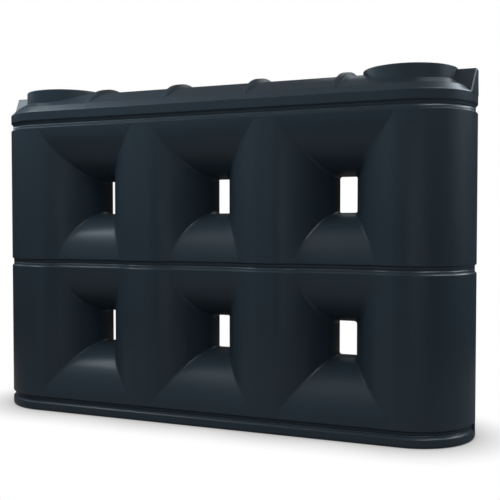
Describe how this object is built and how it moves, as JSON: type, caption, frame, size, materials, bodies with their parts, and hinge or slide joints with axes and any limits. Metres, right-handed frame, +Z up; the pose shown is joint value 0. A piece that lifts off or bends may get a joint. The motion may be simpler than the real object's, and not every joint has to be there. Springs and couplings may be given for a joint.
{
  "type": "slimline water tank",
  "caption": "Slimline above-ground rainwater tank with half-round ends, waisted windows through its body, a ribbed vaulted roof and open inlet collars.",
  "frame": {"origin": "on the floor under the middle of the tank", "axes": "+X along the length of the tank, +Y from the front face to the back face, +Z up"},
  "size_m": [3.05, 0.7, 2.0735],
  "materials": {
    "tank_shell": "semi-gloss moulded polyethylene, dark blue grey"
  },
  "bodies": {
    "root": {"front_lower_outer_panels": "tank_shell", "front_upper_outer_panels": "tank_shell", "front_middle_panels": "tank_shell", "front_middle_groove": "tank_shell", "back_lower_outer_panels": "tank_shell", "back_upper_outer_panels": "tank_shell", "back_middle_panels": "tank_shell", "back_middle_groove": "tank_shell", "end_walls": "tank_shell", "base_rim_ends": "tank_shell", "base_rim_sides": "tank_shell", "floor_pan": "tank_shell", "eave_rim_ends": "tank_shell", "eave_rim_sides": "tank_shell", "left_roof": "tank_shell", "right_roof": "tank_shell", "inlet_collars": "tank_shell", "roof_ribs": "tank_shell", "end_lugs": "tank_shell", "base_pads": "tank_shell"}
  },
  "joints": []
}
